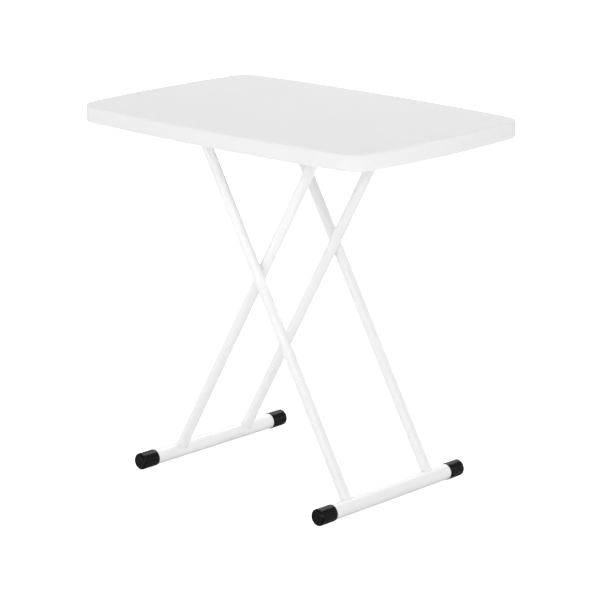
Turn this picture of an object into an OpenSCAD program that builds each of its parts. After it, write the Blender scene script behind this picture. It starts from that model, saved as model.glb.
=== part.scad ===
// Folding table: blow-moulded top on two crossed tube frames.
// Millimetres. The table stands on Z = 0, centred on the origin, long side
// along X, and -Y is the front. Both frames fold up flat under the top.

/* [Table top] */
// Overall length of the top
top_l = 760; // [680:1:840]
// Overall depth of the top
top_w = 496; // [440:1:560]
// Height of the table surface above the floor
top_h = 727; // [700:1:750]
// How far the long sides bow outward
bow_long = 18; // [4:1:30]
// How far the short sides bow outward
bow_short = 17; // [4:1:30]
// Corner radius of the top
corner_r = 48; // [20:1:60]
// Bevel of the upper edge
edge_c = 3.5; // [2:0.5:8]
// Depth of the rim
rim_h = 33; // [28:1:45]
// Width of the rim seen from below
rim_w = 28; // [22:1:40]
// Thickness of the hollow panel inside the rim
panel_t = 20; // [16:1:26]
// Thickness of the moulded skin
skin_t = 2.6; // [2:0.1:4]
// Corner radius of the recess under the top
recess_r = 22; // [10:1:40]

/* [Tack-off dimples under the top] */
// Spacing of the dimples along the length
dimple_dx = 66; // [50:1:90]
// Spacing of the dimple rows along the depth
dimple_dy = 48; // [40:1:60]
// Distance of the first outer row from the centre line
dimple_y0 = 98; // [92:1:110]
// Mouth radius of a dimple
dimple_r = 8; // [5:0.5:10]
// Tip radius of a dimple
dimple_tip_r = 3.5; // [2:0.5:5]

/* [Legs] */
// Outside diameter of the leg and top bar tubes
tube_d = 22.2; // [19:0.1:25.4]
// Wall of the leg and top bar tubes
tube_t = 1.2; // [1:0.1:2]
// Lean of the legs from the vertical
lean = 30; // [25:0.5:35]
// Height of the crossing pivots
pivot_z = 435; // [410:1:460]
// Distance of the outer legs from the centre line
outer_y = 115.8; // [100:0.1:160]
// Side gap between the crossing legs
leg_gap = 1; // [0.8:0.1:3]
// Depth of the top bar axis below the table surface
bar_drop = 40.3; // [40:0.1:43]

/* [Foot bars] */
// Outside diameter of the foot tubes
foot_d = 31; // [28:0.5:35]
// Wall of the foot tubes
foot_t = 1.5; // [1.2:0.1:2.5]
// Foot length over both caps
foot_l = 410; // [360:1:480]
// Outside diameter of the foot caps
cap_d = 33.3; // [30:0.1:38]
// Length of a foot cap
cap_l = 41; // [25:1:60]
// Thickness of the closed end of a cap
cap_end = 3.5; // [2:0.5:6]
// Rounding of the end of a cap
cap_r = 3; // [1:0.5:4]

/* [Rails and glides] */
// Distance of the rails from the centre line
rail_y = 60; // [50:1:70]
// Thickness of the rail plate
rail_t = 2; // [1.5:0.5:3]
// Width of the screwed flange of a rail
flange_w = 28; // [22:1:36]
// Material left below and beyond the slots
slot_rim = 5.5; // [5:0.5:7]
// Farthest position of the outer bar in the left slots
reach_left = 316.5; // [310:0.5:322]
// Farthest position of the inner bar in the right slots
reach_right = 284; // [280:0.5:300]
// Depth of the height notches
notch_d = 2.5; // [1.5:0.5:3]
// Spacing of the height notches
notch_pitch = 31; // [28:1:40]
// Wall of a nylon glide
glide_t = 1.5; // [1:0.1:2]
// Clearance of a glide in its slot
slide_gap = 0.3; // [0.2:0.05:0.5]
// Running clearance of the pins and bars
run_gap = 0.08; // [0.02:0.01:0.1]

/* [Fasteners] */
// Diameter of the pivot rivets
rivet_d = 8; // [6:0.5:10]
// Shank diameter of the rail screws
screw_d = 4; // [3:0.5:5]
// Length of the rail screws
screw_l = 16; // [12:1:18]
// Head diameter of the rail screws
head_d = 8.4; // [7:0.1:10]

/* [Show] */

/* [Hidden] */
$fn = 96;

half_l = top_l / 2;
half_w = top_w / 2;
rim_z = top_h - rim_h;
under_z = top_h - panel_t;
r_long = (half_l * half_l + bow_long * bow_long) / (2 * bow_long);
r_short = (half_w * half_w + bow_short * bow_short) / (2 * bow_short);
centre_long = [0, half_w - r_long];
centre_short = [half_l - r_short, 0];
corner_over = 0.003;

tube_r = tube_d / 2;
inner_y = outer_y - tube_d - leg_gap;
bar_z = top_h - bar_drop;
bar_x = (bar_z - pivot_z) * tan(lean);
foot_z = cap_d / 2;
foot_x = (pivot_z - foot_z) * tan(lean);
leg_up = (bar_z - pivot_z) / cos(lean);
leg_down = (pivot_z - foot_z) / cos(lean);
outer_bar_y = outer_y + tube_r;
inner_bar_y = inner_y + tube_r;
plug_t = 1.6;

glide_r = tube_r + run_gap + glide_t;
glide_flange_r = glide_r + 2.6;
slot_r = glide_r + slide_gap;
slot_in = bar_x - 0.7;
rail_end_r = slot_r + slot_rim;
rail_left = -reach_left - rail_end_r;
rail_right = reach_right + rail_end_r;
ring_r = tube_r + 3.2;
screw_x = [-320, -105, 105, 288];
screw_y = rail_y + rail_t / 2 - flange_w * 0.58;
boss_r = 7;
pin_inner_y = inner_y - tube_r - slide_gap;

white_plastic = [0.92, 0.92, 0.91];
white_paint = [0.94, 0.94, 0.93];
black_rubber = [0.05, 0.05, 0.05];
zinc = [0.70, 0.71, 0.72];
nylon = [0.88, 0.87, 0.82];

// Centre of a corner arc of radius r that just crosses both bowed sides, moved in by inset.
function corner_centre(inset, r) =
  let (
    a = r_long - inset - r + corner_over * r,
    b = r_short - inset - r + corner_over * r,
    line = centre_short - centre_long,
    span = norm(line),
    along = (a * a - b * b + span * span) / (2 * span),
    off = sqrt(a * a - along * along),
    u = line / span
  )
  centre_long + along * u + off * [u[1], -u[0]];

// Disc with a bevelled upper edge, the bevel carried on above it by above.
module disc(r, h, edge, above = 0) {
  rim = [r - edge - (edge > 0 ? above : 0), h + above];
  rotate_extrude($fn = 720) {
    polygon(concat([[0, 0], [r, 0]], edge > 0 ? [[r, h - edge]] : [], [rim, [0, h + above]]));
  }
}

// What is cut off a sharp corner to leave its round one.
module corner_cut(inset, r, z0, z1, edge) {
  c = corner_centre(inset, r);
  to_long = (c - centre_long) / norm(c - centre_long);
  to_short = (c - centre_short) / norm(c - centre_short);
  reach = 3 * r;
  difference() {
    translate([0, 0, z0 - 1]) {
      linear_extrude(z1 - z0 + 2) {
        polygon([
          c,
          c + reach * to_long,
          c + reach * to_long + reach * to_short,
          c + reach * to_short
        ]);
      }
    }
    translate([c[0], c[1], z0 - 2]) disc(r, z1 - z0 + 2, edge, 0.3);
  }
}

// Plate with four bowed sides and round corners, moved in by inset all round.
module bowed_plate(inset, r, z0, z1, edge = 0) {
  difference() {
    intersection() {
      translate([0, centre_long[1], z0]) disc(r_long - inset, z1 - z0, edge);
      translate([0, -centre_long[1], z0]) disc(r_long - inset, z1 - z0, edge);
      translate([centre_short[0], 0, z0]) disc(r_short - inset, z1 - z0, edge);
      translate([-centre_short[0], 0, z0]) disc(r_short - inset, z1 - z0, edge);
    }
    for (mx = [0, 1], my = [0, 1]) {
      mirror([mx, 0, 0]) mirror([0, my, 0]) corner_cut(inset, r, z0, z1, edge);
    }
  }
}

// Places its child at every tack-off dimple.
module at_dimples() {
  for (col = [-4.5 : 1 : 4.5]) {
    translate([col * dimple_dx, 0, 0]) children();
    for (row = [0 : 2], side = [-1, 1]) {
      translate([col * dimple_dx, side * (dimple_y0 + row * dimple_dy), 0]) children();
    }
  }
}

// Places its child at every rail screw of one side.
module at_screws(side) {
  for (x = screw_x) {
    translate([x, side * screw_y, 0]) children();
  }
}

module top_panel() {
  cavity_top = top_h - skin_t;
  color(white_plastic) {
    difference() {
      bowed_plate(0, corner_r, rim_z, top_h, edge_c);
      bowed_plate(rim_w, recess_r, rim_z - 1, under_z);
      difference() {
        bowed_plate(skin_t, corner_r - skin_t, rim_z + skin_t, cavity_top);
        bowed_plate(rim_w - skin_t, recess_r + skin_t, rim_z - 1, under_z + skin_t);
        at_dimples() {
          translate([0, 0, under_z]) {
            cylinder(h = panel_t, r1 = dimple_r + skin_t, r2 = dimple_tip_r + skin_t / 2);
          }
        }
        for (side = [-1, 1]) {
          at_screws(side) translate([0, 0, under_z]) cylinder(h = panel_t, r = boss_r);
        }
      }
      at_dimples() {
        translate([0, 0, under_z - 0.01]) {
          cylinder(h = panel_t - 2 * skin_t, r1 = dimple_r, r2 = dimple_tip_r);
        }
      }
      for (side = [-1, 1]) {
        at_screws(side) {
          translate([0, 0, under_z - 1]) cylinder(h = screw_l - rail_t + 1.5, r = screw_d / 2);
        }
      }
      translate([dimple_dx, dimple_y0 + dimple_dy / 2, under_z - 1]) {
        cylinder(h = skin_t + 3, r = 3);
      }
    }
  }
}

// Long hole from x0 to x1 on the height of the bars, in X and Z.
module slot_outline(x0, x1) {
  for (x = [x0, x1]) {
    translate([x, bar_z]) circle(slot_r);
  }
  translate([min(x0, x1), bar_z - slot_r]) square([abs(x1 - x0), 2 * slot_r]);
}

// Flat outline of a rail web in X and Z, with its two slots and their notches.
module rail_web_outline() {
  difference() {
    union() {
      translate([-reach_left, bar_z - rail_end_r]) {
        square([reach_left + reach_right, under_z - bar_z + rail_end_r]);
      }
      for (x = [-reach_left, reach_right]) {
        translate([x, bar_z]) circle(rail_end_r);
      }
      translate([rail_left, bar_z]) square([rail_right - rail_left, under_z - bar_z]);
    }
    slot_outline(-slot_in, -reach_left);
    slot_outline(slot_in, reach_right);
    for (sx = [-1, 1], k = [0 : 3]) {
      translate([sx * (bar_x + k * notch_pitch), bar_z + notch_d]) circle(slot_r);
    }
  }
}

module rail(side) {
  outer_face = rail_y + rail_t / 2;
  flange_y = side > 0 ? outer_face - flange_w : -outer_face;
  color(zinc) {
    translate([0, side * rail_y + rail_t / 2, 0]) {
      rotate([90, 0, 0]) linear_extrude(rail_t) rail_web_outline();
    }
    difference() {
      translate([rail_left, flange_y, under_z - rail_t]) {
        cube([rail_right - rail_left, flange_w, rail_t]);
      }
      at_screws(side) {
        translate([0, 0, under_z - rail_t - 1]) cylinder(h = rail_t + 2, r = screw_d / 2 + 0.3);
      }
    }
  }
}

module rail_front() {
  rail(-1);
}

module rail_rear() {
  rail(1);
}

// Pan-head tapping screw with a cross recess, head down, seat at Z = 0.
module rail_screw() {
  head_h = 2.6;
  difference() {
    union() {
      cylinder(h = screw_l - 3, r = screw_d / 2);
      translate([0, 0, screw_l - 3]) cylinder(h = 3, r1 = screw_d / 2, r2 = 0.4);
      translate([0, 0, -head_h]) cylinder(h = 1, r1 = head_d / 2 - 1.2, r2 = head_d / 2);
      translate([0, 0, 1 - head_h]) cylinder(h = head_h - 1, r = head_d / 2);
    }
    for (turn = [0, 90]) {
      rotate([0, 0, turn]) {
        translate([-2.3, -0.45, -head_h - 1]) cube([4.6, 0.9, 2.6]);
      }
    }
  }
}

module rail_screws(side) {
  color(zinc) {
    at_screws(side) translate([0, 0, under_z - rail_t]) rail_screw();
  }
}

module rail_screws_front() {
  rail_screws(-1);
}

module rail_screws_rear() {
  rail_screws(1);
}

// Round bar or tube along Y, centred on Y = 0.
module y_bar(l, r) {
  rotate([90, 0, 0]) cylinder(h = l, r = r, center = true);
}

// One straight leg. dir is 1 for the outer frame and -1 for the inner frame.
module leg(dir, y, hole_r) {
  color(white_paint) {
    difference() {
      translate([0, y, pivot_z]) {
        rotate([0, -dir * lean, 0]) {
          difference() {
            translate([0, 0, -leg_down]) cylinder(h = leg_down + leg_up - 2, r = tube_r);
            translate([0, 0, -leg_down - 1]) cylinder(h = leg_down + leg_up + 2, r = tube_r - tube_t);
          }
        }
      }
      translate([dir * foot_x, y, foot_z]) y_bar(3 * tube_d, foot_d / 2);
      translate([-dir * bar_x, y, bar_z]) y_bar(3 * tube_d, tube_r);
      translate([0, y, pivot_z]) y_bar(3 * tube_d, hole_r);
    }
  }
}

module outer_leg_front() {
  leg(1, -outer_y, rivet_d / 2);
}

module outer_leg_rear() {
  leg(1, outer_y, rivet_d / 2);
}

module inner_leg_front() {
  leg(-1, -inner_y, rivet_d / 2 + run_gap);
}

module inner_leg_rear() {
  leg(-1, inner_y, rivet_d / 2 + run_gap);
}

module top_bar(dir, reach_y) {
  color(white_paint) {
    translate([-dir * bar_x, 0, bar_z]) {
      difference() {
        y_bar(2 * (reach_y - plug_t), tube_r);
        y_bar(2 * reach_y, tube_r - tube_t);
      }
    }
  }
}

module outer_top_bar() {
  top_bar(1, outer_bar_y);
}

module inner_top_bar() {
  top_bar(-1, inner_bar_y);
}

// Moulded end plug: outer face at Z = 0, body towards -Z.
module bar_plug() {
  rotate_extrude() {
    translate([0, -plug_t]) square([tube_r - 0.6, plug_t]);
    translate([0, -plug_t]) square([tube_r, plug_t - 0.6]);
    translate([tube_r - 0.6, -0.6]) circle(0.6);
    translate([0, -plug_t - 10]) square([tube_r - tube_t, 10]);
  }
}

module bar_plugs(dir, reach_y) {
  color(black_rubber) {
    for (side = [-1, 1]) {
      translate([-dir * bar_x, side * reach_y, bar_z]) rotate([-side * 90, 0, 0]) bar_plug();
    }
  }
}

module outer_bar_plugs() {
  bar_plugs(1, outer_bar_y);
}

module inner_bar_plugs() {
  bar_plugs(-1, inner_bar_y);
}

// Pressed rings that keep the glides beside the rails.
module bar_rings(dir) {
  color(zinc) {
    for (side = [-1, 1]) {
      translate([-dir * bar_x, side * (rail_y - rail_t / 2 - 3.4), bar_z]) {
        difference() {
          y_bar(0.8, ring_r);
          y_bar(2, tube_r);
        }
      }
    }
  }
}

module outer_bar_rings() {
  bar_rings(1);
}

module inner_bar_rings() {
  bar_rings(-1);
}

// Flanged nylon glide on a bar: the barrel runs in the slot of the rail.
module glide(dir, side) {
  inner_face = rail_y - rail_t / 2 - slide_gap;
  color(nylon) {
    translate([-dir * bar_x, 0, bar_z]) {
      difference() {
        union() {
          translate([0, side * (inner_face + 3), 0]) y_bar(11, glide_r);
          translate([0, side * (inner_face - 1.25), 0]) y_bar(2.5, glide_flange_r);
        }
        translate([0, side * rail_y, 0]) y_bar(40, tube_r + run_gap);
      }
    }
  }
}

module outer_glide_front() {
  glide(1, -1);
}

module outer_glide_rear() {
  glide(1, 1);
}

module inner_glide_front() {
  glide(-1, -1);
}

module inner_glide_rear() {
  glide(-1, 1);
}

module foot_bar(dir) {
  color(white_paint) {
    translate([dir * foot_x, 0, foot_z]) {
      difference() {
        y_bar(foot_l - 2 * cap_end, foot_d / 2);
        y_bar(foot_l, foot_d / 2 - foot_t);
      }
    }
  }
}

module outer_foot_bar() {
  foot_bar(1);
}

module inner_foot_bar() {
  foot_bar(-1);
}

// Slip-on cap: closed end at Z = 0, open end at Z = -cap_l.
module cap_shape() {
  dish_r = cap_d / 2 - 4.2;
  rotate_extrude() {
    difference() {
      union() {
        translate([0, -cap_l]) square([cap_d / 2, cap_l - cap_r]);
        square_w = cap_d / 2 - cap_r;
        translate([0, -cap_r]) square([square_w, cap_r]);
        translate([square_w, -cap_r]) circle(cap_r);
      }
      translate([0, -cap_l - 1]) square([foot_d / 2, cap_l - cap_end + 1]);
      translate([0, -0.8]) square([dish_r, 2]);
    }
  }
}

module foot_cap(dir, side) {
  color(black_rubber) {
    translate([dir * foot_x, side * foot_l / 2, foot_z]) rotate([-side * 90, 0, 0]) cap_shape();
  }
}

module outer_foot_cap_front() {
  foot_cap(1, -1);
}

module outer_foot_cap_rear() {
  foot_cap(1, 1);
}

module inner_foot_cap_front() {
  foot_cap(-1, -1);
}

module inner_foot_cap_rear() {
  foot_cap(-1, 1);
}

// Pivot rivet: ground flush in the outer leg, low round head inside the inner leg.
module pivot_rivet(side) {
  flush_y = outer_y + tube_r - 0.4;
  color(white_paint) {
    translate([0, side * (flush_y + pin_inner_y) / 2, pivot_z]) {
      y_bar(flush_y - pin_inner_y, rivet_d / 2);
    }
    translate([0, side * pin_inner_y, pivot_z]) {
      rotate([side * 90, 0, 0]) cylinder(h = 1.4, r1 = 6, r2 = 3.8);
    }
  }
}

module pivot_rivet_front() {
  pivot_rivet(-1);
}

module pivot_rivet_rear() {
  pivot_rivet(1);
}

module pivot_washer(side) {
  washer_t = leg_gap - slide_gap;
  color(nylon) {
    translate([0, side * (outer_y - tube_r - washer_t / 2), pivot_z]) {
      difference() {
        y_bar(washer_t, 9);
        y_bar(5, rivet_d / 2);
      }
    }
  }
}

module pivot_washer_front() {
  pivot_washer(-1);
}

module pivot_washer_rear() {
  pivot_washer(1);
}

top_panel();
rail_front();
rail_rear();
rail_screws_front();
rail_screws_rear();
outer_leg_front();
outer_leg_rear();
outer_top_bar();
outer_bar_plugs();
outer_bar_rings();
outer_foot_bar();
outer_foot_cap_front();
outer_foot_cap_rear();
outer_glide_front();
outer_glide_rear();
inner_leg_front();
inner_leg_rear();
inner_top_bar();
inner_bar_plugs();
inner_bar_rings();
inner_foot_bar();
inner_foot_cap_front();
inner_foot_cap_rear();
inner_glide_front();
inner_glide_rear();
pivot_rivet_front();
pivot_rivet_rear();
pivot_washer_front();
pivot_washer_rear();
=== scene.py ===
import math
import random

import bpy
from mathutils import Matrix, Vector
from mathutils.geometry import delaunay_2d_cdt


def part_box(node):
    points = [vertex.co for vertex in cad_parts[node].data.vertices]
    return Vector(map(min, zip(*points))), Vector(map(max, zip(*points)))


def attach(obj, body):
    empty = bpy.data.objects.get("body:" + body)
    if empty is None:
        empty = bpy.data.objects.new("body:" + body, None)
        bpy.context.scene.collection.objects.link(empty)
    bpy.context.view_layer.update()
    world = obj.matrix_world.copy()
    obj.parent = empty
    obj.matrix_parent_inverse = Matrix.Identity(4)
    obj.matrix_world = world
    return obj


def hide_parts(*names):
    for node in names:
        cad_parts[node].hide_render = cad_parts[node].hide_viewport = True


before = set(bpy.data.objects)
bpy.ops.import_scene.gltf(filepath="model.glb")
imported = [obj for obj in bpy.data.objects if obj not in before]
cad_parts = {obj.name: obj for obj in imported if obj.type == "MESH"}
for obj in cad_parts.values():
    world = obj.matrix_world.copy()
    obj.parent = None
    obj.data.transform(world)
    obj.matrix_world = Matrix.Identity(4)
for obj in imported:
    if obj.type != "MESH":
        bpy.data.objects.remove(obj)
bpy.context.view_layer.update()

# A folding table: a white blow-moulded top on two crossed frames of white tube, with black caps on the feet.
# The top, the legs, the foot bars and the caps are drawn again here, finer than in CAD and in the same boxes.
# The weld beads are added. All other pieces are the CAD pieces with a material.

MM = 0.001
Y_AXIS = Vector((0, 1, 0))
random.seed(7)

# ---------------------------------------------------------------- sizes


def middle(node):
    lo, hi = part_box(node)
    return (lo + hi) / 2


def half(node):
    lo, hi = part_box(node)
    return (hi - lo) / 2


# read from the frame
TOP_LO, TOP_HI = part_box("top_panel")
HALF_L = TOP_HI.x
HALF_W = TOP_HI.y
TOP_Z = TOP_HI.z
RIM_Z = TOP_LO.z
RAIL_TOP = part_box("rail_front")[1].z      # also the underside of the panel, which the rails are screwed to
TUBE_R = half("outer_top_bar").x
FOOT_R = half("outer_foot_bar").x
CAP_R = half("outer_foot_cap_front").x

# the top: the same sizes as in CAD
BOW_LONG = 18 * MM
BOW_SHORT = 17 * MM
CORNER_R = 48 * MM
RECESS_R = 22 * MM           # the recess's own corners
RIM_W = 28 * MM
COLUMNS = 10                 # of tack-off dimples, each with one in the middle and ROWS on either side
ROWS = 3
COLUMN_PITCH = 66 * MM
ROW_PITCH = 48 * MM
FIRST_ROW = 98 * MM
VENT_PLACE = (COLUMN_PITCH, FIRST_ROW + ROW_PITCH / 2)

# the top: roundings that are drawn only here
EDGE_R = 4.5 * MM            # upper edge
RIM_ROUND = 2.2 * MM         # outer lower edge
LIP_ROUND = 2.0 * MM         # inner lower edge
RECESS_FILLET = 3.0 * MM     # between the recess's wall and its ceiling
EDGE_MARGIN = 1.2 * MM       # flat margin inside the upper edge, which keeps the shading level
FLAT_BAND = 0.3 * MM         # the same round every opening of the underside
SAME_POINT = 1e-7

# foot bars and caps
FOOT_WALL = 1.5 * MM
CUT_EDGE = 0.4 * MM
CAP_BORE = FOOT_R + 0.02 * MM
CAP_BEVEL = 3.4 * MM
CAP_SOFT = 0.8 * MM          # rounds both corners of the bevel
CAP_TANGENT = 0.33 * MM      # how far these roundings reach past the corners
CAP_RING = 5.6 * MM          # width of the end face outside the dish

# leg ends: a leg's saddle on a top bar of the same radius would run out to a point on the bar's axis, so it
# stops at these distances from the axis
COPE_LEAST = 2 * MM
BEAD_LEAST = 2.2 * MM
FOOT_BEAD = 1.5 * MM         # radii of the weld beads
TOP_BEAD = 1.3 * MM

# how finely round shapes are divided
CORNER_STEPS = 14
LONG_STEPS = 44
SHORT_STEPS = 30
EDGE_STEPS = 8
ROUND_STEPS = 5
WELL_STEPS = 28
LEG_STEPS = 72
LEG_STATIONS = 40
LATHE_STEPS = 96
BAR_STATIONS = 30
BEAD_STEPS = 120
BEAD_SIDES = 10

# ---------------------------------------------------------------- mesh helpers


def mesh_object(name, verts, faces, material, smooth_angle=35):
    mesh = bpy.data.meshes.new(name)
    mesh.from_pydata([tuple(v) for v in verts], [], faces)
    mesh.validate()
    mesh.polygons.foreach_set("use_smooth", [True] * len(mesh.polygons))
    mesh.set_sharp_from_angle(angle=math.radians(smooth_angle))
    mesh.materials.append(material)
    mesh.update()
    obj = bpy.data.objects.new(name, mesh)
    bpy.context.scene.collection.objects.link(obj)
    return obj


def arc(cx, cy, r, start, end, steps):
    """Points on a circle from one angle to another, in degrees, both ends included."""
    angles = [math.radians(start + (end - start) * i / steps) for i in range(steps + 1)]
    return [(cx + r * math.cos(a), cy + r * math.sin(a)) for a in angles]


def ring_faces(rings, count, closed=False):
    """Quads between successive rings of count points, and from the last back to the first if closed."""
    faces = []
    for i in range(rings if closed else rings - 1):
        a = i * count
        b = (i + 1) % rings * count
        for j in range(count):
            k = (j + 1) % count
            faces.append((a + j, a + k, b + k, b + j))
    return faces


def lathe_y(name, profile, centre, sign, material, closed=False, smooth_angle=35):
    """Turns (radius, distance) points about the Y axis through centre; distance runs along sign * Y."""
    verts = []
    for r, d in profile:
        for x, z in arc(centre.x, centre.z, r, 0, 360 * sign, LATHE_STEPS)[:-1]:
            verts.append((x, centre.y + sign * d, z))
    faces = [face[::-1] for face in ring_faces(len(profile), LATHE_STEPS, closed)]
    if not closed:
        faces.append(tuple(range(LATHE_STEPS)))
        faces.append(tuple(range(len(verts) - LATHE_STEPS, len(verts)))[::-1])
    return mesh_object(name, verts, faces, material, smooth_angle)


# ---------------------------------------------------------------- materials


class Nodes:
    """Short hand for a node tree. A value may be a constant or another node's output."""

    def __init__(self, tree):
        self.tree = tree

    def add(self, kind, **settings):
        node = self.tree.nodes.new(kind)
        for key, value in settings.items():
            setattr(node, key, value)
        return node

    def feed(self, socket, value):
        if isinstance(value, bpy.types.NodeSocket):
            self.tree.links.new(value, socket)
        else:
            socket.default_value = value

    def ramp(self, source, low, high, out_low, out_high):
        """Source from low to high becomes out_low to out_high."""
        node = self.add("ShaderNodeMapRange")
        self.feed(node.inputs["Value"], source)
        for key, value in zip(("From Min", "From Max", "To Min", "To Max"), (low, high, out_low, out_high)):
            self.feed(node.inputs[key], value)
        return node.outputs["Result"]


class Surface(Nodes):
    """A Principled material with textures in object coordinates."""

    def __init__(self, name):
        self.material = bpy.data.materials.new(name)
        self.material.use_nodes = True
        super().__init__(self.material.node_tree)
        self.bsdf = self.tree.nodes["Principled BSDF"]
        self.coords = self.add("ShaderNodeTexCoord").outputs["Object"]

    def noise(self, scale, detail=4.0, roughness=0.55, stretch=None):
        node = self.add("ShaderNodeTexNoise")
        for key, value in (("Scale", scale), ("Detail", detail), ("Roughness", roughness)):
            self.feed(node.inputs[key], value)
        place = self.coords
        if stretch:
            mapping = self.add("ShaderNodeMapping")
            self.feed(mapping.inputs["Vector"], place)
            self.feed(mapping.inputs["Scale"], stretch)
            place = mapping.outputs["Vector"]
        self.feed(node.inputs["Vector"], place)
        return node.outputs["Fac"]

    def cells(self, scale):
        node = self.add("ShaderNodeTexVoronoi", feature="F1")
        self.feed(node.inputs["Scale"], scale)
        self.feed(node.inputs["Vector"], self.coords)
        return node.outputs["Distance"]

    def sum(self, a, b, weight):
        """a + weight * b"""
        node = self.add("ShaderNodeMath", operation="MULTIPLY_ADD")
        for socket, value in zip(node.inputs, (b, weight, a)):
            self.feed(socket, value)
        return node.outputs[0]

    def colour(self, source, low, high, first, second):
        """Base colour from first to second as source goes from low to high."""
        node = self.add("ShaderNodeMix", data_type="RGBA")
        self.feed(node.inputs["Factor"], self.ramp(source, low, high, 0.0, 1.0))
        for key, value in (("A", first), ("B", second)):
            self.feed(next(s for s in node.inputs if s.name == key and s.type == "RGBA"), value)
        mixed = next(s for s in node.outputs if s.type == "RGBA")
        self.feed(self.bsdf.inputs["Base Color"], mixed)

    def roughness(self, source, first, second, low=0.3, high=0.7):
        """Roughness from first to second as source goes from low to high."""
        self.feed(self.bsdf.inputs["Roughness"], self.ramp(source, low, high, first, second))

    def bump(self, height, strength, distance):
        node = self.add("ShaderNodeBump")
        for key, value in (("Strength", strength), ("Distance", distance), ("Height", height)):
            self.feed(node.inputs[key], value)
        self.feed(self.bsdf.inputs["Normal"], node.outputs["Normal"])

    def set(self, **values):
        for key, value in values.items():
            self.feed(self.bsdf.inputs[key.replace("_", " ")], value)


def grey(v, tint=(1.0, 1.0, 1.0)):
    return (v * tint[0], v * tint[1], v * tint[2], 1.0)


def white_plastic():
    m = Surface("white_plastic")
    m.colour(m.noise(5.0, 3.0), 0.35, 0.65, grey(0.81), grey(0.82))
    m.roughness(m.noise(38.0), 0.66, 0.76)
    grain = m.noise(260.0, 4.0, 0.6)
    fine = m.noise(900.0, 3.0, 0.6)
    m.bump(m.sum(grain, fine, 0.5), 0.10, 0.6 * MM)
    m.set(IOR=1.49, Specular_IOR_Level=0.25)
    return m.material


def powder_coat():
    m = Surface("white_powder_coat")
    m.colour(m.noise(9.0, 3.0), 0.35, 0.65, grey(0.88), grey(0.89))
    m.roughness(m.noise(60.0, 3.0), 0.30, 0.42)
    orange_peel = m.noise(420.0, 2.0, 0.5)
    m.bump(orange_peel, 0.16, 0.5 * MM)
    m.set(IOR=1.5, Specular_IOR_Level=0.5, Coat_Weight=0.12, Coat_Roughness=0.25)
    return m.material


def black(name, tone):
    m = Surface(name)
    m.colour(m.noise(70.0), 0.4, 0.75, grey(tone), grey(1.7 * tone))
    m.roughness(m.noise(150.0, 3.0), 0.25, 0.32)
    m.bump(m.noise(1100.0, 3.0, 0.6), 0.12, 0.3 * MM)
    m.set(IOR=1.5, Specular_IOR_Level=0.13)
    return m.material


def zinc(name, roughness, stretch):
    """Zinc-plated steel: drawn streaks over a faint spangle."""
    m = Surface(name)
    spangle = m.cells(130.0)
    streak = m.noise(200.0, 4.0, 0.6, stretch)
    m.colour(streak, 0.3, 0.7, grey(0.52, (1, 1.01, 1.03)), grey(0.68, (1, 1.0, 1.01)))
    m.roughness(m.sum(streak, spangle, 0.3), roughness - 0.06, roughness + 0.14, 0.3, 0.9)
    m.bump(m.sum(streak, spangle, 0.4), 0.12, 0.4 * MM)
    m.set(Metallic=1.0)
    return m.material


def nylon():
    m = Surface("nylon")
    m.colour(m.noise(90.0, 3.0), 0.3, 0.7, grey(0.84), grey(0.88))
    m.roughness(m.noise(200.0, 3.0), 0.34, 0.5)
    m.bump(m.noise(700.0, 3.0), 0.12, 0.4 * MM)
    m.set(IOR=1.53, Specular_IOR_Level=0.4)
    return m.material


WHITE = white_plastic()
COAT = powder_coat()
RUBBER = black("black_rubber", 0.001)
PLUG = black("black_plastic", 0.009)
ZINC = zinc("zinc_steel", 0.34, (1.0, 12.0, 12.0))
SCREW = zinc("screw_steel", 0.26, (4.0, 4.0, 4.0))
NYLON = nylon()

# ---------------------------------------------------------------- table top

# each side is bowed: an arc through its middle and through the ends it would have without corners
R_LONG = (HALF_L ** 2 + BOW_LONG ** 2) / (2 * BOW_LONG)
R_SHORT = (HALF_W ** 2 + BOW_SHORT ** 2) / (2 * BOW_SHORT)
C_LONG = Vector((0, HALF_W - R_LONG))
C_SHORT = Vector((HALF_L - R_SHORT, 0))


def outline(inset, corner_r):
    """Closed loop of the bowed outline moved in by inset. It always has the same number of points."""
    # the corner's centre lies at these distances from the centres of the two bows
    from_long = R_LONG - inset - corner_r
    from_short = R_SHORT - inset - corner_r
    line = C_SHORT - C_LONG
    span = line.length
    u = line / span
    along = (from_long ** 2 - from_short ** 2 + span ** 2) / (2 * span)
    centre = C_LONG + along * u + math.sqrt(from_long ** 2 - along ** 2) * Vector((u.y, -u.x))
    low = math.degrees(math.atan2(centre.y - C_SHORT.y, centre.x - C_SHORT.x))
    high = math.degrees(math.atan2(centre.y - C_LONG.y, centre.x - C_LONG.x))

    corner = arc(centre.x, centre.y, corner_r, low, high, CORNER_STEPS)
    rear = arc(C_LONG.x, C_LONG.y, R_LONG - inset, high, 180 - high, LONG_STEPS)[1:-1]
    right = arc(C_SHORT.x, C_SHORT.y, R_SHORT - inset, low, -low, SHORT_STEPS)[1:-1]
    half_loop = corner + rear + [(-x, y) for x, y in reversed(corner)] + [(-x, y) for x, y in right]
    return half_loop + [(-x, -y) for x, y in half_loop]


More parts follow.
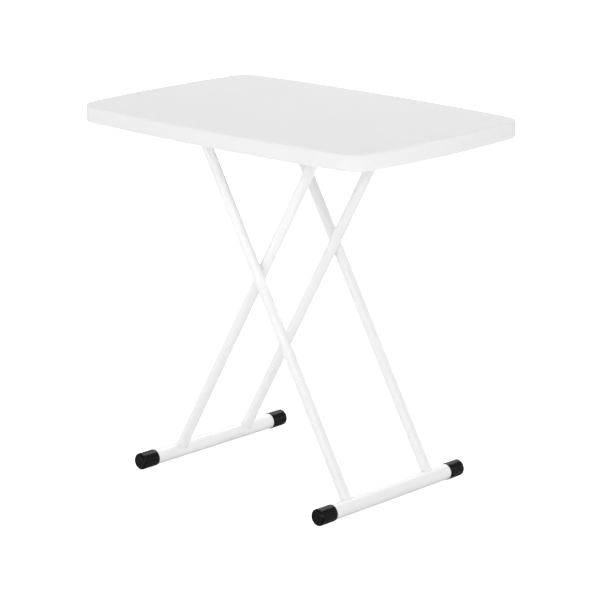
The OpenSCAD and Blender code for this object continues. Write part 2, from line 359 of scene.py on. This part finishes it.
def rim_section():
    """(inset, height) points from the flat of the top over its edge, under the rim and into the recess."""
    section = [(EDGE_R + EDGE_MARGIN, TOP_Z)]
    section += arc(EDGE_R, TOP_Z - EDGE_R, EDGE_R, 90, 180, EDGE_STEPS)
    section.append((0.0, (TOP_Z + RIM_Z) / 2))
    section += arc(RIM_ROUND, RIM_Z + RIM_ROUND, RIM_ROUND, 180, 270, ROUND_STEPS)
    section.append((RIM_W / 2, RIM_Z))
    section += arc(RIM_W - LIP_ROUND, RIM_Z + LIP_ROUND, LIP_ROUND, -90, 0, ROUND_STEPS)
    section += arc(RIM_W + RECESS_FILLET, RAIL_TOP - RECESS_FILLET, RECESS_FILLET, 180, 90, ROUND_STEPS)
    section.append((RIM_W + RECESS_FILLET + FLAT_BAND, RAIL_TOP))
    return section


def dimple_profile():
    """(radius, height) points of a tack-off: rounded lip, tapering wall and rounded bottom."""
    mouth, lip, tip, depth = 8.0 * MM, 1.4 * MM, 3.5 * MM, 14.2 * MM
    profile = [(mouth + lip + FLAT_BAND, RAIL_TOP)]
    profile += arc(mouth + lip, RAIL_TOP + lip, lip, -90, -162, 4)
    profile += [(tip + 0.4 * MM, RAIL_TOP + depth - 1.6 * MM), (tip - 0.2 * MM, RAIL_TOP + depth - 0.5 * MM),
                (tip - 1.2 * MM, RAIL_TOP + depth)]
    return profile


def vent_profile():
    """(radius, height) points of the moulding's vent: a plain hole with a softened mouth."""
    mouth, bore, depth = 3.4 * MM, 3.0 * MM, 9 * MM
    return [(mouth + FLAT_BAND, RAIL_TOP), (mouth, RAIL_TOP), (3.1 * MM, RAIL_TOP + 0.15 * MM),
            (bore, RAIL_TOP + 0.5 * MM), (bore, RAIL_TOP + depth)]


def dimple_places():
    places = []
    for column in range(COLUMNS):
        x = (column - (COLUMNS - 1) / 2) * COLUMN_PITCH
        places.append((x, 0.0))
        for row in range(ROWS):
            y = FIRST_ROW + row * ROW_PITCH
            places += [(x, y), (x, -y)]
    return places


class Shell:
    """Points and faces of the top, built loop by loop."""

    def __init__(self):
        self.verts = []
        self.faces = []

    def loop(self, points, z):
        first = len(self.verts)
        self.verts += [(x, y, z) for x, y in points]
        return range(first, len(self.verts))

    def loft(self, loops):
        for a, b in zip(loops, loops[1:]):
            for j in range(len(a)):
                k = (j + 1) % len(a)
                self.faces.append((a[j], b[j], b[k], a[k]))

    def well(self, x, y, profile):
        """Sinks a round well into the underside and gives back its mouth."""
        rings = [self.loop(arc(x, y, r, 0, 360, WELL_STEPS)[:-1], z) for r, z in profile]
        self.loft(rings)
        self.faces.append(tuple(rings[-1])[::-1])
        return rings[0]

    def sheet(self, edge, mouths):
        """Flat underside between the recess's edge and the mouths of the wells, on their own points."""
        sheet = []
        owner = []
        borders = []
        for number, ring in enumerate([edge] + mouths):
            first = len(sheet)
            sheet += ring
            owner += [number] * len(ring)
            borders += [(first + j, first + (j + 1) % len(ring)) for j in range(len(ring))]
        flat = [Vector(self.verts[i][:2]) for i in sheet]
        points, _, triangles, origins, _, _ = delaunay_2d_cdt(flat, borders, [], 1, SAME_POINT)
        for tri in triangles:
            owners = {owner[origins[i][0]] for i in tri}
            if len(owners) == 1 and 0 not in owners:      # it would cover the mouth of one well
                continue
            area = (points[tri[1]] - points[tri[0]]).cross(points[tri[2]] - points[tri[0]])
            downward = tri if area < 0 else tri[::-1]
            self.faces.append(tuple(sheet[origins[i][0]] for i in downward))


def table_top():
    shell = Shell()
    loops = []
    for inset, z in rim_section():
        corner_r = CORNER_R + (RECESS_R - CORNER_R) * min(1, inset / RIM_W)
        loops.append(shell.loop(outline(inset, corner_r), z))
    shell.loft(loops)
    shell.faces.append(tuple(loops[0]))
    mouths = [shell.well(x, y, dimple_profile()) for x, y in dimple_places()]
    mouths.append(shell.well(*VENT_PLACE, vent_profile()))
    shell.sheet(loops[-1], mouths)

    obj = mesh_object("table_top", shell.verts, shell.faces, WHITE, 38)
    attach(obj, "table_top")
    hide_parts("top_panel")


table_top()

# ---------------------------------------------------------------- frames


def saddle(bar_r, phi, least=0.0):
    """How far from the bar's axis a leg's wall meets the bar, at angle phi round the leg."""
    return max(least, math.sqrt(max(0.0, bar_r ** 2 - (TUBE_R * math.cos(phi)) ** 2)))


def leg(part, end, y):
    """Straight tube from foot bar to top bar, coped over both, with a weld bead at each end."""
    node = f"{part}_leg_{end}"
    body = f"{part}_frame"
    foot = middle(f"{part}_foot_bar")
    foot.y = y
    bar = middle(f"{part}_top_bar")
    bar.y = y
    axis = (bar - foot).normalized()
    across = Y_AXIS.cross(axis)
    length = (bar - foot).length
    verts = []
    for i in range(LEG_STATIONS + 1):
        for j in range(LEG_STEPS):
            a = 2 * math.pi * j / LEG_STEPS
            low = saddle(FOOT_R, a)
            high = length - saddle(TUBE_R, a, COPE_LEAST)
            d = low + (high - low) * i / LEG_STATIONS
            verts.append(foot + axis * d + (across * math.cos(a) + Y_AXIS * math.sin(a)) * TUBE_R)
    obj = mesh_object(f"tube_{node}", verts, ring_faces(LEG_STATIONS + 1, LEG_STEPS), COAT)
    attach(obj, body)
    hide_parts(node)
    bead(f"weld_{node}_foot", body, foot, axis, across, FOOT_R, FOOT_BEAD, 0.0)
    bead(f"weld_{node}_top", body, bar, -axis, across, TUBE_R, TOP_BEAD, BEAD_LEAST)


def bead(name, body, centre, axis, across, bar_r, bead_r, least):
    """Fillet weld round the saddle where a leg meets a bar, with the ripples of the weld pool."""
    outward = []
    line = []
    for j in range(BEAD_STEPS):
        a = 2 * math.pi * j / BEAD_STEPS
        outward.append(across * math.cos(a) + Y_AXIS * math.sin(a))
        line.append(centre + axis * saddle(bar_r, a, least) + outward[j] * TUBE_R)
    verts = []
    for j, p in enumerate(line):
        along = (line[(j + 1) % BEAD_STEPS] - line[j - 1]).normalized()
        out = (outward[j] - along * outward[j].dot(along)).normalized()
        up = along.cross(out)
        ripple = 0.10 * math.sin(j * math.pi / 2) + random.uniform(-0.05, 0.05)
        for x, y in arc(0, 0, bead_r * (1 + ripple), 0, 360, BEAD_SIDES)[:-1]:
            verts.append(p + out * x + up * y)
    obj = mesh_object(name, verts, ring_faces(BEAD_STEPS, BEAD_SIDES, True), COAT, 60)
    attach(obj, body)


def foot_bar(part):
    """Tube along the depth, with its cut edges broken."""
    node = f"{part}_foot_bar"
    reach = half(node).y
    wall_end = reach - CUT_EDGE
    bore = FOOT_R - FOOT_WALL
    profile = [(FOOT_R, wall_end * (2 * i / BAR_STATIONS - 1)) for i in range(BAR_STATIONS + 1)]
    profile += [(FOOT_R - CUT_EDGE, reach), (bore, reach), (bore, -reach), (FOOT_R - CUT_EDGE, -reach)]
    obj = lathe_y(f"tube_{node}", profile, middle(node), 1, COAT, True)
    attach(obj, f"{part}_frame")
    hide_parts(node)


def foot_cap(part, end, sign):
    """Cap with a rounded mouth, a 45 degree bevel and a shallow dish in its end."""
    node = f"{part}_foot_cap_{end}"
    centre, size = middle(node), half(node)
    length = 2 * size.y
    mouth = Vector((centre.x, centre.y - sign * size.y, centre.z))
    wall_start = 0.6 * MM
    wall_end = length - CAP_BEVEL - CAP_TANGENT
    floor = length - 0.5 * MM
    # bore and rounded mouth
    profile = [(CAP_BORE, 4 * MM), (CAP_BORE, 0.5 * MM), (CAP_BORE + 0.35 * MM, 0.0),
               (CAP_R - 0.55 * MM, 0.0), (CAP_R - 0.16 * MM, 0.18 * MM)]
    # wall and bevel
    profile += [(CAP_R, wall_start + (wall_end - wall_start) * i / 6) for i in range(6)]
    profile += arc(CAP_R - CAP_SOFT, wall_end, CAP_SOFT, 0, 45, 4)
    profile += arc(CAP_R - CAP_BEVEL - CAP_TANGENT, length - CAP_SOFT, CAP_SOFT, 45, 90, 4)
    # dish, with the mould's small pip in the middle
    lip = CAP_R - CAP_RING
    profile += [(lip + 0.5 * MM, length), (lip + 0.12 * MM, length - 0.1 * MM), (lip, length - 0.25 * MM),
                (lip - 0.4 * MM, length - 0.4 * MM), (lip - 1.2 * MM, floor + 0.05 * MM), (0.5 * lip, floor),
                (2.2 * MM, floor), (1.9 * MM, floor + 0.1 * MM), (1.2 * MM, floor + 0.18 * MM)]
    obj = lathe_y(f"cap_{part}_{end}", profile, mouth, sign, RUBBER, False, 40)
    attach(obj, f"{part}_frame")
    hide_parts(node)


ENDS = (("front", -1), ("rear", 1))
for part in ("outer", "inner"):
    leg_y = middle(f"{part}_leg_rear").y
    for end, sign in ENDS:
        leg(part, end, sign * leg_y)
for part in ("outer", "inner"):
    foot_bar(part)
    for end, sign in ENDS:
        foot_cap(part, end, sign)

# ---------------------------------------------------------------- pieces that keep their CAD shape

CAD_SHAPES = [
    (ZINC, ("rail_front", "rail_rear")),
    (SCREW, ("rail_screws_front", "rail_screws_rear", "outer_bar_rings", "inner_bar_rings")),
    (COAT, ("outer_top_bar", "inner_top_bar", "pivot_rivet_front", "pivot_rivet_rear")),
    (PLUG, ("outer_bar_plugs", "inner_bar_plugs")),
    (NYLON, ("outer_glide_front", "outer_glide_rear", "inner_glide_front", "inner_glide_rear",
             "pivot_washer_front", "pivot_washer_rear")),
]
for material, nodes in CAD_SHAPES:
    for node in nodes:
        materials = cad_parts[node].data.materials
        materials.clear()
        materials.append(material)

# ---------------------------------------------------------------- studio

FLOOR_HALF = 14.0
FLOOR_LIFT = 1.0          # light that only the camera sees, so that the floor is plain white to it
SKY_LIGHT = 0.58
SKY_SEEN = 1.05           # how bright the surroundings are to the camera itself
HORIZON_LIGHT = 0.25      # added to SKY_LIGHT at the horizon, and fading out up to HORIZON_TOP
HORIZON_TOP = 0.45        # sine of the elevation

# kinds of lamp: distance from the table's axis, height, width, length, height aimed at, spread in degrees
LAMPS = {
    "tall": (3.8, 1.9, 0.9, 3.2, 0.45, 180),
    "soft": (3.8, 1.6, 2.0, 2.0, 0.45, 180),
    "high": (3.2, 3.6, 2.0, 2.0, 0.45, 180),
    "low": (3.6, 0.5, 1.0, 1.0, 0.62, 180),
    "narrow": (3.6, 0.2, 0.5, 0.5, 0.60, 14),
}
# name, kind of lamp, azimuth from the front in degrees, watts
LIGHTS = [
    ("key", "tall", 43, 40.0),
    ("key_low", "low", 43, 3.0),
    ("left", "soft", -35, 18.4),
    ("left_low", "low", -70, 9.0),
    ("front_low", "low", 10, 4.5),
    ("right", "soft", 115, 6.0),
    ("back_high", "high", 200, 56.8),
    ("left_high", "high", 240, 18.0),
    ("back_low", "low", 150, 9.0),
    ("back_left", "low", 220, 10.0),
    ("front_narrow", "narrow", 10, 0.027),
    ("right_narrow", "narrow", 75, 0.154),
]


def floor():
    s = FLOOR_HALF
    mesh = bpy.data.meshes.new("floor")
    mesh.from_pydata([(-s, -s, 0), (s, -s, 0), (s, s, 0), (-s, s, 0)], [], [(0, 1, 2, 3)])
    m = Surface("floor_white")
    m.colour(m.noise(3.0), 0.3, 0.7, grey(0.80), grey(0.81))
    seen = m.add("ShaderNodeLightPath").outputs["Is Camera Ray"]
    m.set(Roughness=0.9, Specular_IOR_Level=0.1, Emission_Color=(1, 1, 1, 1),
          Emission_Strength=m.ramp(seen, 0.0, 1.0, 0.0, FLOOR_LIFT))
    mesh.materials.append(m.material)
    obj = bpy.data.objects.new("floor", mesh)
    bpy.context.scene.collection.objects.link(obj)


def sky():
    """Plain white to the camera, and to all else a dimmer light that is strongest at the horizon."""
    world = bpy.data.worlds.new("studio")
    bpy.context.scene.world = world
    world.use_nodes = True
    nodes = Nodes(world.node_tree)
    split = nodes.add("ShaderNodeSeparateXYZ")
    nodes.feed(split.inputs["Vector"], nodes.add("ShaderNodeTexCoord").outputs["Generated"])
    light = nodes.ramp(split.outputs["Z"], 0.0, HORIZON_TOP, SKY_LIGHT + HORIZON_LIGHT, SKY_LIGHT)
    seen = nodes.add("ShaderNodeLightPath").outputs["Is Camera Ray"]
    background = nodes.tree.nodes["Background"]
    nodes.feed(background.inputs["Color"], (1, 1, 1, 1))
    nodes.feed(background.inputs["Strength"], nodes.ramp(seen, 0.0, 1.0, light, SKY_SEEN))


def area_light(name, lamp, azimuth, power):
    distance, height, width, length, aim, spread = LAMPS[lamp]
    data = bpy.data.lights.new(name, "AREA")
    data.shape = "RECTANGLE"
    data.size = width
    data.size_y = length
    data.energy = power
    data.spread = math.radians(spread)
    turn = math.radians(azimuth)
    obj = bpy.data.objects.new(name, data)
    obj.location = (distance * math.sin(turn), -distance * math.cos(turn), height)
    obj.rotation_mode = "QUATERNION"
    obj.rotation_quaternion = (Vector((0, 0, aim)) - obj.location).to_track_quat("-Z", "Y")
    bpy.context.scene.collection.objects.link(obj)


floor()
sky()
for light in LIGHTS:
    area_light(*light)
bpy.context.scene.view_settings.view_transform = "Standard"

# ---------------------------------------------------------------- camera

# solved from the photograph, in degrees and metres
AZIMUTH = 43.546
ELEVATION = 14.963
ROLL = -0.171
DISTANCE = 5.0929
TARGET = Vector((0.00567, 0.0, 0.35452))
FOCAL_OVER_FRAME = 4.3618      # focal length in widths of the picture
SENSOR = 36.0


def photo_camera():
    turn, rise, roll = (math.radians(a) for a in (AZIMUTH, ELEVATION, ROLL))
    back = Vector((math.sin(turn) * math.cos(rise), -math.cos(turn) * math.cos(rise), math.sin(rise)))
    right = (-back).cross(Vector((0, 0, 1))).normalized()
    up = right.cross(-back)
    x_axis = math.cos(roll) * right + math.sin(roll) * up
    y_axis = -math.sin(roll) * right + math.cos(roll) * up
    camera = bpy.data.cameras.new("camera")
    camera.sensor_width = SENSOR
    camera.lens = SENSOR * FOCAL_OVER_FRAME
    camera.clip_start = 0.1
    camera.clip_end = 60
    eye = bpy.data.objects.new("camera", camera)
    eye.location = TARGET + DISTANCE * back
    eye.rotation_mode = "QUATERNION"
    eye.rotation_quaternion = Matrix((x_axis, y_axis, back)).transposed().to_quaternion()
    bpy.context.scene.collection.objects.link(eye)
    bpy.context.scene.camera = eye


photo_camera()
